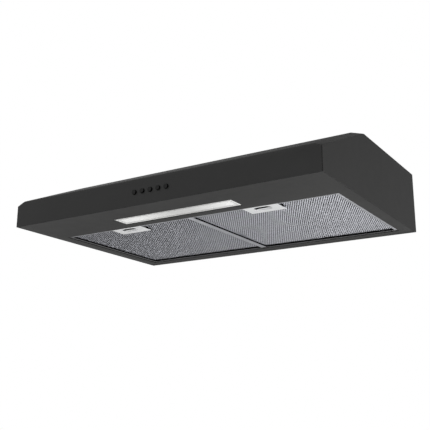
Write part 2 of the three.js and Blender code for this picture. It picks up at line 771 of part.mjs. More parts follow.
function wiringBox() {
  const { left, right, front, back, bottom, top } = WIRING;
  const outside = box([left, right], [front, back], [bottom, top]);
  const inside = box(
    [left + SHEET, right - SHEET],
    [front + SHEET, back - SHEET],
    [bottom - 1, top - SHEET],
  );
  return cut(outside, [
    inside,
    rod("z", [GLAND.x, GLAND.y], GLAND.hole, top - 5, top + 5),
    rod("x", [100, 115], 4, left - 2, left + 4, 12),
    rod("y", [115, 270], 4, front - 2, front + 4, 12),
  ]);
}

function wiringCover() {
  const { left, right, front, back, bottom } = WIRING;
  const plate = box([left - 1, right + 1], [front - 1, back + 1], [bottom - 1.5, bottom - GAP]);
  return cut(plate, coverScrews((x, y) => rod("z", [x, y], 2, bottom - 4, bottom + 2, 12)));
}

const coverScrews = (make) => [make(WIRING.left + 12, 100), make(WIRING.right - 12, 100)];

function coverScrew(x, y) {
  const seat = WIRING.bottom - 1.5 - GAP;
  const head = rod("z", [x, y], 3.4, seat - 2, seat, 14);
  return head.add(rod("z", [x, y], 1.6, seat - 0.5, seat + 12, 10));
}

function cableGland() {
  const { x, y, bore, radius } = GLAND;
  const profile = [
    [bore, 124],
    [10, 124],
    [10, 133],
    [14, 133],
    [14, 137.8],
    [radius, 137.8],
    [radius, HEIGHT],
    [bore, HEIGHT],
  ];
  return turned("z", [x, y], profile, 20);
}

const CAPACITOR = { from: 140, to: 196, y: 20, z: 122, radius: 15 };

function runCapacitor() {
  const { from, to, y, z, radius } = CAPACITOR;
  const profile = [
    [0, from],
    [radius - 1.5, from],
    [radius, from + 1.5],
    [radius, to - 1.5],
    [radius - 1.5, to],
    [0, to],
  ];
  const terminals = [-5, 5].map((at) => {
    return box([to - 1, to + 8], [y + at - 3, y + at + 3], [z - 0.4, z + 0.4]);
  });
  return join([turned("x", [y, z], profile, 24), ...terminals]);
}

// A band round the capacitor with a foot against the top sheet.
function capacitorClip() {
  const { y, z, radius } = CAPACITOR;
  const inner = radius + GAP;
  const band = rod("x", [y, z], inner + 1.2, 160, 176).subtract(rod("x", [y, z], inner, 159, 177));
  const shelf = box([160, 176], [y - 26, y - 12], [z + 9, z + 10.2]);
  const hanger = box([160, 176], [y - 26, y - 24.8], [z + 9, TOP_IN - GAP]);
  return join([band, shelf, hanger]);
}

const path = (points) =>
  new THREE.CatmullRomCurve3(points.map(([x, y, z]) => new THREE.Vector3(x, y, z)));

const MOTOR_LEAD = [
  [0, 94, 78],
  [0, 74, 86],
  [24, 54, 100],
  [90, 48, 108],
  [160, 66, 112],
  [196, 98, 115],
  [228, 100, 115],
];
const SWITCH_HARNESS = [
  [44, BLOCK.back + 4, 32],
  [52, -206, 44],
  [96, -160, 78],
  [180, -90, 108],
  [248, -20, 116],
  [269, 30, 115],
  [270, 76, 115],
];
const LAMP_LEAD = [
  [-188, 0, 126],
  [-164, -14, 118],
  [-124, -80, 82],
  [-96, -146, 46],
  [-90, -164, 34],
  [-90, -165, 21],
];

const [firstScrew, secondScrew] = coverScrews(coverScrew);
piece("wiring_box", wiringBox(), "galvanised");
piece("wiring_cover", wiringCover(), "galvanised");
piece("cover_screw_1", firstScrew, "steel");
piece("cover_screw_2", secondScrew, "steel");
piece("cable_gland", cableGland(), "grey_plastic");
piece("run_capacitor", runCapacitor(), "white_plastic");
piece("capacitor_clip", capacitorClip(), "galvanised");
piece("motor_lead", tube(path(MOTOR_LEAD), 2.5, 20), "cable");
piece("switch_harness", tube(path(SWITCH_HARNESS), 2.5, 26), "cable");
piece("lamp_lead", tube(path(LAMP_LEAD), 2, 20), "cable");

export default hood;
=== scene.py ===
"""Looks of an under cabinet range hood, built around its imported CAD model.

Every piece is made from the frame's own boxes and meshes, in metres: sheet metal is the CAD
solid with its edges rounded, turned parts are lathed again at a fine step, springs are wound,
and the filters get real expanded metal. The hood hangs from its top, so the floor lies well
below it.
"""

import json
import math
from contextlib import contextmanager

import bmesh
import bpy
from mathutils import Matrix, Vector

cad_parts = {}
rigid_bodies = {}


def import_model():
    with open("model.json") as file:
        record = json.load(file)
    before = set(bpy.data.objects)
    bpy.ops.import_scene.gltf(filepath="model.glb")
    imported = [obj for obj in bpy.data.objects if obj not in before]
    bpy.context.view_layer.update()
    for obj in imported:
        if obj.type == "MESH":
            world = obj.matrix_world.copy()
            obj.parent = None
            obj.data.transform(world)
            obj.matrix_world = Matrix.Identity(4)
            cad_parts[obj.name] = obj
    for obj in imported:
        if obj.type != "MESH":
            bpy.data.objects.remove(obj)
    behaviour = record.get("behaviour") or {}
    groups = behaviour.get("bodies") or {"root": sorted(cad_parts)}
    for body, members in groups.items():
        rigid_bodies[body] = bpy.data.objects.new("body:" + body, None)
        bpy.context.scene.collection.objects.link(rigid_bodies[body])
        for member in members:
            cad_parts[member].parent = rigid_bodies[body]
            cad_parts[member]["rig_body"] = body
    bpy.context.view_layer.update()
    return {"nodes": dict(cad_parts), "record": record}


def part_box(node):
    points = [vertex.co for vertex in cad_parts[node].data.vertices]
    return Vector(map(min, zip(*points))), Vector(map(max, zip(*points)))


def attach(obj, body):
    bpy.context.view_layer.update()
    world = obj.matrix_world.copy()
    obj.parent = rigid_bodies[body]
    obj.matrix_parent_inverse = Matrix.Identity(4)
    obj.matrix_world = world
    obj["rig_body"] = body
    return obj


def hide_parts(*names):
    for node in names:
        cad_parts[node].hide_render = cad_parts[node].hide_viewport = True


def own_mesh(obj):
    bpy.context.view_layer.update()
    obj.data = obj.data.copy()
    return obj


MM = 0.001
HANDS = ("left", "right")

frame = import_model()
SLOT_OF = {part["node"]: part["material_slot"] for part in frame["record"]["subparts"]}


def linear(level):
    """A display level from 0 to 255 as a linear value."""
    share = level / 255
    return share / 12.92 if share <= 0.04045 else ((share + 0.055) / 1.055) ** 2.4


def colour(red, green, blue):
    """A linear colour from display levels."""
    return (linear(red), linear(green), linear(blue), 1.0)


# ---------------------------------------------------------------- materials


class Finish:
    """One material: its node tree, its Principled shader and short ways to add to them."""

    def __init__(self, name, **constants):
        self.material = bpy.data.materials.new(name)
        self.material.use_nodes = True
        self.tree = self.material.node_tree
        self.shader = self.tree.nodes["Principled BSDF"]
        for socket, value in constants.items():
            self.shader.inputs[socket.replace("_", " ")].default_value = value
        self.place = self.tree.nodes.new("ShaderNodeTexCoord").outputs["Object"]

    def node(self, kind, **inputs):
        """A new node whose inputs are constants or the outputs of other nodes."""
        made = self.tree.nodes.new(kind)
        for socket, value in inputs.items():
            self.feed(made.inputs[socket.replace("_", " ")], value)
        return made

    def feed(self, socket, value):
        if isinstance(value, bpy.types.NodeSocket):
            self.tree.links.new(value, socket)
        else:
            socket.default_value = value

    def noise(self, size, detail=3.0, stretch=(1, 1, 1)):
        """Smooth noise from 0 to 1 whose features are about size across."""
        place = self.node("ShaderNodeMapping", Vector=self.place, Scale=stretch).outputs["Vector"]
        made = self.node("ShaderNodeTexNoise", Vector=place, Scale=1 / size, Detail=detail)
        return made.outputs["Fac"]

    def crystals(self, size, feature="F1"):
        """Cells about size across: a random grey for each one, or the distance to its edge."""
        made = self.node("ShaderNodeTexVoronoi", Vector=self.place, Scale=1 / size)
        made.feature = feature
        if feature == "DISTANCE_TO_EDGE":
            return made.outputs["Distance"]
        return self.node("ShaderNodeSeparateColor", Color=made.outputs["Color"]).outputs["Red"]

    def computed(self, operation, *values):
        """The result of one operation on constants or the outputs of other nodes."""
        made = self.node("ShaderNodeMath")
        made.operation = operation
        for socket, value in zip(made.inputs, values):
            self.feed(socket, value)
        return made.outputs["Value"]

    def spread(self, value, low, high, start=0.3, end=0.7):
        """value, from start to end, mapped to low and high."""
        made = self.node("ShaderNodeMapRange", Value=value)
        limits = {"From Min": start, "From Max": end, "To Min": low, "To Max": high}
        for socket, number in limits.items():
            made.inputs[socket].default_value = number
        return made.outputs["Result"]

    def blend(self, factor, first, second):
        """A colour between two others."""
        made = self.node("ShaderNodeMix")
        made.data_type = "RGBA"
        self.feed(made.inputs["Factor"], factor)
        self.feed(made.inputs[6], first)
        self.feed(made.inputs[7], second)
        return made.outputs[2]

    def paint(self, value):
        self.feed(self.shader.inputs["Base Color"], value)

    def mottle(self, dark, light, size, detail=3.0):
        """A colour that drifts between two others, in patches about size across."""
        tone = self.spread(self.noise(size, detail), 0, 1)
        self.paint(self.blend(tone, dark, light))

    def roughness(self, value):
        self.feed(self.shader.inputs["Roughness"], value)

    def wear(self, low, high, size, detail=3.0):
        """A roughness that drifts between two values, in patches about size across."""
        self.roughness(self.spread(self.noise(size, detail), low, high))

    def relief(self, height, depth, strength=1.0, below=None):
        """Adds a bump of that height map, depth metres deep, on top of another bump."""
        made = self.node("ShaderNodeBump", Height=height, Distance=depth, Strength=strength)
        if below is not None:
            self.feed(made.inputs["Normal"], below)
        self.feed(self.shader.inputs["Normal"], made.outputs["Normal"])
        return made.outputs["Normal"]


def black_paint():
    """Satin powder coat: nearly black, with a fine orange peel and a faint cloudiness."""
    finish = Finish("black_paint", Specular_IOR_Level=0.34)
    finish.mottle(colour(18, 18, 17.5), colour(21, 21, 20.5), 0.16, detail=2)
    finish.wear(0.46, 0.49, 0.03)
    peel = finish.relief(finish.noise(1.6 * MM, detail=2), 0.03 * MM, 0.5)
    finish.relief(finish.noise(0.35 * MM, detail=1), 0.006 * MM, 0.5, below=peel)
    return finish.material


def black_plastic():
    """Glossy moulded plastic with fine handling marks."""
    finish = Finish("black_plastic", Specular_IOR_Level=0.5, Coat_Weight=0.35, Coat_Roughness=0.08)
    finish.mottle(colour(9, 9, 9), colour(14, 14, 14), 0.01)
    finish.wear(0.18, 0.3, 4 * MM, detail=5)
    finish.relief(finish.noise(0.5 * MM, detail=2), 0.003 * MM, 0.4)
    return finish.material


def button_plastic():
    """The buttons' own plastic: blacker than the fascia round them, with a soft gloss."""
    finish = Finish("button_plastic", Specular_IOR_Level=0.2)
    finish.mottle(colour(4, 4, 4), colour(7, 7, 7), 6 * MM)
    finish.wear(0.3, 0.42, 3 * MM, detail=4)
    finish.relief(finish.noise(0.4 * MM, detail=2), 0.003 * MM, 0.4)
    return finish.material


def painted_shade_black():
    """Matt black that stands for painted shade where it is put."""
    finish = Finish("painted_shade_black", Specular_IOR_Level=0.05)
    finish.mottle(colour(2, 2, 2), colour(5, 5, 5), 3 * MM, detail=4)
    finish.wear(0.8, 0.95, 5 * MM)
    finish.relief(finish.noise(0.4 * MM, detail=2), 0.01 * MM, 0.5)
    return finish.material


def bright_aluminium():
    """Rolled aluminium sheet: a fine grain along X, and soft patches where it was handled."""
    finish = Finish("bright_aluminium", Metallic=0.55)
    grain = finish.noise(0.25 * MM, detail=4, stretch=(0.012, 1, 1))
    tone = finish.spread(grain, 0, 0.6)
    finish.paint(finish.blend(tone, colour(228, 229, 230), colour(246, 246, 247)))
    finish.wear(0.34, 0.46, 0.05)
    finish.relief(grain, 0.01 * MM, 0.35)
    return finish.material


def expanded_aluminium(name, dark, light):
    """Expanded aluminium foil: a little oxidised, and uneven from strand to strand."""
    finish = Finish(name, Metallic=1.0)
    finish.mottle(dark, light, 8 * MM, detail=2)
    finish.wear(0.46, 0.54, 0.02)
    finish.relief(finish.noise(0.5 * MM, detail=2), 0.002 * MM, 0.3)
    return finish.material


def mesh_aluminium():
    """The foil of the layer that shows."""
    return expanded_aluminium("mesh_aluminium", colour(190, 191, 197), colour(214, 215, 221))


def inner_mesh():
    """The foil behind the first layer, darker than it as painted shade."""
    return expanded_aluminium("inner_mesh", colour(84, 84, 88), colour(108, 108, 112))


def rim_aluminium():
    """The frames' folded sheet, with painted shade that darkens it along the hood's left side and
    its back.
    """
    finish = Finish("rim_aluminium", Metallic=1.0)
    left_edge, left_unshaded = -342.5 * MM, -340.5 * MM
    back_unshaded, back_edge = 217.5 * MM, 219 * MM
    apart = finish.node("ShaderNodeSeparateXYZ", Vector=finish.place)
    beside = finish.spread(apart.outputs["X"], 0, 1, left_edge, left_unshaded)
    behind = finish.spread(apart.outputs["Y"], 1, 0, back_unshaded, back_edge)
    unshaded = finish.computed("MULTIPLY", beside, behind)
    rim_tone = finish.blend(finish.noise(0.03), colour(186, 187, 192), colour(204, 205, 210))
    # Painted shade: dark grey along the hood's left side and its back, the rim's own tone
    # elsewhere.
    finish.paint(finish.blend(unshaded, colour(118, 118, 120), rim_tone))
    finish.wear(0.36, 0.46, 0.02)
    finish.relief(finish.noise(0.3 * MM, detail=3, stretch=(0.05, 1, 1)), 0.004 * MM, 0.3)
    return finish.material


def galvanised():
    """Zinc coated steel with its spangle of flat crystals."""
    finish = Finish("galvanised", Metallic=0.95)
    crystal = finish.crystals(9 * MM)
    both = finish.blend(0.35, crystal, finish.crystals(3.5 * MM))
    finish.paint(finish.blend(both, colour(150, 153, 157), colour(196, 199, 203)))
    finish.roughness(finish.spread(crystal, 0.34, 0.52, start=0, end=1))
    finish.relief(finish.noise(1.2 * MM, detail=3), 0.012 * MM, 0.4)
    return finish.material


def steel():
    """Drawn or ground steel under a thin film of oil."""
    finish = Finish("steel", Metallic=1.0)
    finish.mottle(colour(128, 128, 130), colour(168, 168, 170), 8 * MM, detail=4)
    finish.wear(0.25, 0.38, 2 * MM)
    finish.relief(finish.noise(0.3 * MM, detail=3), 0.006 * MM, 0.4)
    return finish.material


def white_plastic():
    """Moulded flame resistant plastic with a fine spark texture."""
    finish = Finish("white_plastic", Specular_IOR_Level=0.4)
    finish.mottle(colour(214, 214, 210), colour(226, 226, 223), 0.02)
    finish.wear(0.42, 0.55, 5 * MM)
    finish.relief(finish.noise(0.5 * MM, detail=2), 0.015 * MM, 0.5)
    return finish.material


def grey_plastic():
    """Glass filled nylon."""
    finish = Finish("grey_plastic", Specular_IOR_Level=0.45)
    finish.mottle(colour(58, 60, 62), colour(78, 80, 82), 1.5 * MM, detail=4)
    finish.wear(0.4, 0.55, 4 * MM)
    finish.relief(finish.noise(0.4 * MM, detail=2), 0.015 * MM, 0.5)
    return finish.material


def lens():
    """Opal polycarbonate, with painted light: darker over the middle of the board and lighter
    towards its ends.
    """
    finish = Finish("lens", Specular_IOR_Level=0.5)
    darkest_x, clear, lightest_from = 18 * MM, 20 * MM, 120 * MM
    # Painted light: darkest at the board's middle, growing lighter towards the lens's ends.
    across = finish.node("ShaderNodeSeparateXYZ", Vector=finish.place).outputs["X"]
    distance = finish.computed("ABSOLUTE", finish.computed("SUBTRACT", across, darkest_x))
    painted_light = finish.spread(distance, 0, 1, clear, lightest_from)
    finish.paint(finish.blend(painted_light, colour(196, 196, 195), colour(236, 236, 235)))
    finish.wear(0.26, 0.3, 0.04)
    finish.relief(finish.noise(0.3 * MM, detail=1), 0.001 * MM, 0.3)
    return finish.material


def lens_groove():
    """The unpolished inside of the lens's groove."""
    finish = Finish("lens_groove", Roughness=0.6, Specular_IOR_Level=0.3)
    finish.paint(finish.blend(finish.noise(0.02), colour(168, 168, 167), colour(180, 180, 179)))
    return finish.material


def circuit_board():
    """A white solder mask with copper tracks showing through as slightly darker bands."""
    finish = Finish("circuit_board", Specular_IOR_Level=0.5)
    edge = finish.spread(finish.crystals(11 * MM, "DISTANCE_TO_EDGE"), 0, 1, 0.02, 0.06)
    finish.paint(finish.blend(edge, colour(186, 190, 178), colour(222, 224, 216)))
    finish.wear(0.3, 0.42, 3 * MM)
    finish.relief(edge, 0.03 * MM, 0.5)
    return finish.material


def cable():
    """PVC sleeve, slightly waxy."""
    finish = Finish("cable", Specular_IOR_Level=0.4)
    finish.mottle(colour(168, 170, 172), colour(188, 189, 190), 6 * MM)
    finish.wear(0.45, 0.58, 3 * MM)
    finish.relief(finish.noise(1 * MM, detail=2), 0.02 * MM, 0.4)
    return finish.material


FINISHES = {
    make.__name__: make()
    for make in (
        black_paint,
        black_plastic,
        button_plastic,
        painted_shade_black,
        bright_aluminium,
        mesh_aluminium,
        rim_aluminium,
        inner_mesh,
        galvanised,
        steel,
        white_plastic,
        grey_plastic,
        lens,
        lens_groove,
        circuit_board,
        cable,
    )
}


# ---------------------------------------------------------------- meshes

# Vertices of a CAD mesh that are closer than this are one.
SAME_POINT = 0.002 * MM
# Edges sharper than this are rounded.
SHARP = math.radians(35)


def body_of(node):
    return frame["nodes"][node]["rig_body"]


def add_object(name, data):
    made = bpy.data.objects.new(name, data)
    bpy.context.scene.collection.objects.link(made)
    return made


def place(piece, node):
    """Gives a piece the finish and the body of a CAD node, and puts it in that node's stead."""
    slot = SLOT_OF[node]
    piece.data.materials.clear()
    piece.data.materials.append(FINISHES[slot])
    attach(piece, body_of(node))
    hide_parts(node)
    return piece


def dress_as_painted_shade(piece, node):
    """Gives a piece that the CAD leaves out the matt black of painted shade and a CAD node's body.
    """
    piece.data.materials.append(FINISHES["painted_shade_black"])
    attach(piece, body_of(node))


def smooth(mesh, angle=40):
    """Smooth shading everywhere but across edges sharper than the angle."""
    mesh.polygons.foreach_set("use_smooth", [True] * len(mesh.polygons))
    mesh.set_sharp_from_angle(angle=math.radians(angle))
    mesh.update()


def evaluated(shape):
    """A new mesh of what an object looks like with its modifiers or its curve's bevel."""
    depsgraph = bpy.context.evaluated_depsgraph_get()
    return bpy.data.meshes.new_from_object(shape.evaluated_get(depsgraph), depsgraph=depsgraph)


def baked(piece):
    """Applies the piece's modifiers."""
    mesh = evaluated(piece)
    piece.modifiers.clear()
    piece.data = mesh
    return piece


@contextmanager
def editing(mesh, source=None):
    """Opens a mesh for changes, as it is or as a copy of another, and stores it at the end."""
    bm = bmesh.new()
    bm.from_mesh(mesh if source is None else source)
    yield bm
    bm.to_mesh(mesh)
    bm.free()


def whole_faces(node):
    """A copy of a CAD node's mesh, merged and with as few triangles as its flat faces need."""
    mesh = bpy.data.meshes.new(node + "_fine")
    flat = math.radians(0.6)
    with editing(mesh, frame["nodes"][node].data) as bm:
        bmesh.ops.remove_doubles(bm, verts=bm.verts, dist=SAME_POINT)
        bmesh.ops.dissolve_limit(bm, angle_limit=flat, verts=bm.verts, edges=bm.edges)
        many_sided = [face for face in bm.faces if len(face.verts) > 4]
        bmesh.ops.triangulate(bm, faces=many_sided, ngon_method="EAR_CLIP")
    return mesh


def softened(piece, radius, segments=2):
    """Rounds every sharp edge of a piece."""
    bevel = piece.modifiers.new("round", "BEVEL")
    bevel.width = radius
    bevel.segments = segments
    bevel.limit_method = "ANGLE"
    bevel.angle_limit = SHARP
    bevel.use_clamp_overlap = False
    bevel.harden_normals = True
    smooth(piece.data)
    return baked(piece)


def rounded(node, radius, segments=2):
    """The CAD solid with its sharp edges rounded, in the solid's stead."""
    piece = add_object(node + "_fine", whole_faces(node))
    return place(softened(piece, radius, segments), node)


def folded(node, lines, fold, radius, segments=2):
    """Like rounded, but with the wider radius of a fold along some lines of the lower face.

    Each line is an axis, 0 for x or 1 for y, and the line's position on that axis."""
    low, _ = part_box(node)
    mesh = whole_faces(node)
    near = 0.02 * MM

    def on(vert, axis, position):
        return abs(vert.co.z - low.z) < near and abs(vert.co[axis] - position) < near

    with editing(mesh) as bm:
        chosen = [
            edge
            for edge in bm.edges
            if any(all(on(vert, *line) for vert in edge.verts) for line in lines)
        ]
        bmesh.ops.bevel(bm, geom=chosen, offset=fold, segments=5, profile=0.5, affect="EDGES")
    piece = add_object(node + "_fine", mesh)
    return place(softened(piece, radius, segments), node)


def centre_of(node):
    low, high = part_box(node)
    return (low + high) / 2


def block(name, low, high):
    """A box between two corners, to be cut, joined or softened."""
    mesh = bpy.data.meshes.new(name)
    size = Vector(high) - Vector(low)
    middle = (Vector(high) + Vector(low)) / 2
    matrix = Matrix.Translation(middle) @ Matrix.Diagonal((*size, 1))
    with editing(mesh) as bm:
        bmesh.ops.create_cube(bm, size=1, matrix=matrix)
    return add_object(name, mesh)


def combined(piece, tools, operation):
    """The piece after a boolean with each tool; the tools are used up."""
    for tool in tools:
        change = piece.modifiers.new("boolean", "BOOLEAN")
        change.operation = operation
        change.solver = "EXACT"
        change.object = tool
        baked(piece)
        bpy.data.objects.remove(tool)
    return piece


def bridge(bm, ring, following):
    """Joins two rings of vertices by a band of faces; either may be a single vertex."""
    around = max(len(ring), len(following))
    if around == 1:
        return
    for k in range(around):
        m = (k + 1) % around
        corners = (
            ring[k % len(ring)],
            ring[m % len(ring)],
            following[m % len(following)],
            following[k % len(following)],
        )
        bm.faces.new(list(dict.fromkeys(corners)))


def prism(name, outline, x0, x1):
    """An outline of (y, z) points carried from x0 to x1."""
    mesh = bpy.data.meshes.new(name)
    with editing(mesh) as bm:
        near = [bm.verts.new((x0, y, z)) for y, z in outline]
        far = [bm.verts.new((x1, y, z)) for y, z in outline]
        bm.faces.new(near)
        bm.faces.new(far)
        bridge(bm, near, far)
        bmesh.ops.recalc_face_normals(bm, faces=bm.faces)
    return add_object(name, mesh)


def eased(profile, ease, steps=3):
    """A profile with a small round at each corner that is off the axis."""
    points = []
    for index, here in enumerate(profile):
        corner = Vector(here)
        before = Vector(profile[index - 1]) - corner
        after = Vector(profile[(index + 1) % len(profile)]) - corner
        if corner.x == 0:
            points.append(here)
            continue
        start = corner + before.normalized() * min(ease, before.length * 0.45)
        end = corner + after.normalized() * min(ease, after.length * 0.45)
        for k in range(steps + 1):
            t = k / steps
            point = start.lerp(corner, t).lerp(corner.lerp(end, t), t)
            points.append((point.x, point.y))
    return points


ACROSS = {"x": (1, 2), "y": (2, 0), "z": (0, 1)}


def lathed(name, axis, centre, profile, steps=64):
    """A closed profile of (radius, place along the axis), turned about a line through a point."""
    mesh = bpy.data.meshes.new(name)
    along = "xyz".index(axis)
    first, second = ACROSS[axis]
    with editing(mesh) as bm:
        rings = []
        for radius, place_along in profile:
            ring = []
            for k in range(steps if radius > 0 else 1):
                turn = 2 * math.pi * k / steps
                point = [0, 0, 0]
                point[along] = place_along
                point[first] = centre[first] + radius * math.cos(turn)
                point[second] = centre[second] + radius * math.sin(turn)
                ring.append(bm.verts.new(point))
            rings.append(ring)
        for ring, following in zip(rings, rings[1:] + rings[:1]):
            bridge(bm, ring, following)
        bmesh.ops.recalc_face_normals(bm, faces=bm.faces)
    smooth(mesh, 50)
    return add_object(name, mesh)


def turned(node, axis, profile, ease=0.3 * MM, steps=64):
    """A lathed piece in place of a CAD node, on the node's own axis."""
    piece = lathed(node + "_fine", axis, centre_of(node), eased(profile, ease), steps)
    return place(piece, node)


def rod(node, axis, ease, steps=32):
    """A plain round bar in place of a CAD node, with its ends eased."""
    low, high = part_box(node)
    along = "xyz".index(axis)
    across = ACROSS[axis][0]
    radius = (high[across] - low[across]) / 2
    profile = [(0, low[along]), (radius, low[along]), (radius, high[along]), (0, high[along])]
    return turned(node, axis, profile, ease, steps)


def coil(node, wire, turns=3, closed=0.75):
    """A compression spring along Y in a CAD node's box, with some closed turns at each end."""
    low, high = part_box(node)
    middle = centre_of(node)
    radius = (high.x - low.x) / 2 - wire
    start, end = low.y + wire, high.y - wire
    pinched = 2.1 * wire * closed
    per_turn = 24
    whole = turns + 2 * closed
    steps = round(whole * per_turn)
    curve = bpy.data.curves.new(node + "_wire", "CURVE")
    curve.dimensions = "3D"
    curve.bevel_depth = wire
    curve.bevel_resolution = 3
    curve.use_fill_caps = True
    line = curve.splines.new("POLY")
    line.points.add(steps)
    for k in range(steps + 1):
        done = whole * k / steps
        if done < closed:
            y = start + pinched * done / closed
        elif done > whole - closed:
            y = end - pinched * (whole - done) / closed
        else:
            y = start + pinched + (end - start - 2 * pinched) * (done - closed) / turns
        angle = 2 * math.pi * done
        x = middle.x + radius * math.cos(angle)
        z = middle.z + radius * math.sin(angle)
        line.points[k].co = (x, y, z, 1)
    shape = add_object(node + "_wire", curve)
    mesh = evaluated(shape)
    bpy.data.objects.remove(shape)
    smooth(mesh, 60)
    return place(add_object(node + "_fine", mesh), node)


def pressed_coil(node, wire):
    """A wound spring in place of a CAD node, with a mesh of its own."""
    spring = coil(node, wire)
    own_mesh(spring)


def screw(node, axis, head, seat, radius, shank=None, tip=None):
    """A pan head screw with a cross recess; head and seat are places along the axis."""
    outwards = 1 if seat > head else -1
    deep = abs(seat - head)
    profile = [
        (0, head),
        (0.45 * radius, head + outwards * 0.06 * deep),
        (0.8 * radius, head + outwards * 0.28 * deep),
        (radius, head + outwards * 0.7 * deep),
        (radius, seat),
    ]
    if shank is None:
        profile.append((0, seat))
    else:
        pitch = 0.9 * MM
        threads = int((abs(tip - seat) - 1.5 * MM) / pitch)
        for k in range(threads):
            root = seat + outwards * pitch * (k + 0.5)
            profile += [(shank * 0.78, root), (shank, root + outwards * pitch / 2)]
        profile += [(shank * 0.3, tip), (0, tip)]
    piece = lathed(node + "_fine", axis, centre_of(node), profile, 40)
    along = "xyz".index(axis)
    tools = []
    for across in ACROSS[axis]:
        half = Vector((0.17 * radius,) * 3)
        half[across] = 0.62 * radius
        half[along] = 0.5 * deep
        middle = centre_of(node)
        middle[along] = head
        tools.append(block("recess", middle - half, middle + half))
    return place(combined(piece, tools, "DIFFERENCE"), node)


def sleeve(node):
    """A cable with a round section, from the CAD tube's flat sided one."""
    mesh = bpy.data.meshes.new(node + "_fine")
    bent = math.radians(40)
    with editing(mesh, frame["nodes"][node].data) as bm:
        bmesh.ops.remove_doubles(bm, verts=bm.verts, dist=SAME_POINT)
        bmesh.ops.join_triangles(
            bm, faces=bm.faces, angle_face_threshold=bent, angle_shape_threshold=bent
        )
    piece = add_object(node + "_fine", mesh)
    fine = piece.modifiers.new("round", "SUBSURF")
    fine.levels = 2
    fine.render_levels = 2
    smooth(mesh, 80)
    return place(baked(piece), node)


# ---------------------------------------------------------------- sheet metal and housings

# The radii that the edges are rounded to.
PAINTED = 0.4 * MM
FOLDED = 0.25 * MM
THIN = 0.15 * MM
MOULDED = 0.5 * MM

for node in ("outer_shell", "side_panel_left", "side_panel_right"):
    rounded(node, PAINTED, 3)
low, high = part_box("bottom_pan")
folded("bottom_pan", ((0, low.x), (0, high.x), (1, high.y)), 2 * MM, PAINTED, 3)
low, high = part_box("back_panel")
folded("back_panel", ((1, low.y),), 0.8 * MM, PAINTED, 3)
for node in (
    "switch_bracket",
    "motor_cradle",
    "scroll_left",
    "scroll_right",
    "rod_carrier_left",
    "rod_carrier_right",
    "outlet_collar",
    "damper_flap",
    "wiring_box",
    "wiring_cover",
    "capacitor_clip",
    "latch_plate_left",
    "latch_plate_right",
    "led_board",
):
    rounded(node, FOLDED)
for hand in HANDS:
    node = f"filter_frame_{hand}"
    low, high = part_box(node)
    rim = folded(node, ((0, low.x), (0, high.x), (1, low.y)), 0.75 * MM, THIN)
    rim.data.materials[0] = FINISHES["rim_aluminium"]
for node in ("switch_block", "lamp_housing", "led_driver", "button_bezel"):
    rounded(node, MOULDED, 3)
for node in ("motor_lead", "switch_harness", "lamp_lead"):
    sleeve(node)


# ---------------------------------------------------------------- buttons


def button(node):
    """A round button with a dished face, a collet behind the fascia and a stem to the switch."""
    low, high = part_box(node)
    cap, collet, stem = 5 * MM, 6.6 * MM, 2.2 * MM
    rim, dish = 0.82 * cap, 0.75 * MM
    rings = 10
    profile = [(rim * k / rings, low.y + dish * (1 - (k / rings) ** 2)) for k in range(rings)]
    profile += [
        (rim, low.y),
        (0.93 * cap, low.y + 0.12 * MM),
        (0.99 * cap, low.y + 0.45 * MM),
        (cap, low.y + 1 * MM),
        (cap, low.y + 7 * MM),
        (collet, low.y + 7 * MM),
        (collet, low.y + 8.5 * MM),
        (stem, low.y + 8.5 * MM),
        (stem, high.y),
        (0, high.y),
    ]
    piece = lathed(node + "_fine", "y", centre_of(node), profile)
    place(piece, node)
    piece.data.materials[0] = FINISHES["button_plastic"]


for number in range(1, 6):
    button(f"button_{number}")
    pressed_coil(f"button_spring_{number}", 0.4 * MM)


# ---------------------------------------------------------------- lamp


def corner_ring(low, high, inset, radius, z, steps=8):
    """The points of a rectangle with round corners, set in from two corners by a distance."""
    points = []
    corners = ((high.x, high.y, 0), (low.x, high.y, 1), (low.x, low.y, 2), (high.x, low.y, 3))
    for x, y, quarter in corners:
        along_x = 1 if quarter in (0, 3) else -1
        along_y = 1 if quarter in (0, 1) else -1
        reach = max(radius - inset, 0.2 * MM)
        for k in range(steps + 1):
            angle = math.pi / 2 * (quarter + k / steps)
            px = x - along_x * (inset + reach) + reach * math.cos(angle)
            py = y - along_y * (inset + reach) + reach * math.sin(angle)
            points.append((px, py, z))
    return points


def lamp_lens():
    """The lens: a flat plate with round corners and a fine groove moulded round its face."""
    node = "lamp_lens"
    low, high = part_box(node)
    groove, width, depth, slope = 8.2 * MM, 3 * MM, 0.5 * MM, 0.2 * MM
    corner, edge = 3 * MM, 0.5 * MM
    sections = (
        (0, high.z),
        (0, low.z + edge),
        (0.3 * edge, low.z + 0.3 * edge),
        (edge, low.z),
        (groove, low.z),
        (groove + slope, low.z + depth),
        (groove + width - slope, low.z + depth),
        (groove + width, low.z),
    )
    mesh = bpy.data.meshes.new(node)
    with editing(mesh) as bm:
        rings = []
        for inset, z in sections:
            ring = corner_ring(low, high, inset, corner, z)
            rings.append([bm.verts.new(point) for point in ring])
        around = len(rings[0])
        for ring, following in zip(rings, rings[1:]):
            bridge(bm, ring, following)
        bm.faces.new(rings[0])
        bm.faces.new(rings[-1])
        bmesh.ops.recalc_face_normals(bm, faces=bm.faces)
    smooth(mesh, 30)
    piece = place(add_object(node + "_fine", mesh), node)
    piece.data.materials.append(FINISHES["lens_groove"])
    first = sections.index((groove, low.z))
    for face in piece.data.polygons[first * around : (len(sections) - 1) * around]:
        face.material_index = 1


lamp_lens()


# ---------------------------------------------------------------- blower

# Radius of the bores that the motor's shaft runs in.
SHAFT_ROOM = 4.3 * MM


def inner_and_outer(node, hand):
    """The places along X of a node's end towards the motor and of its other end."""
    low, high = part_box(node)
    return (low.x, high.x) if hand == "right" else (high.x, low.x)


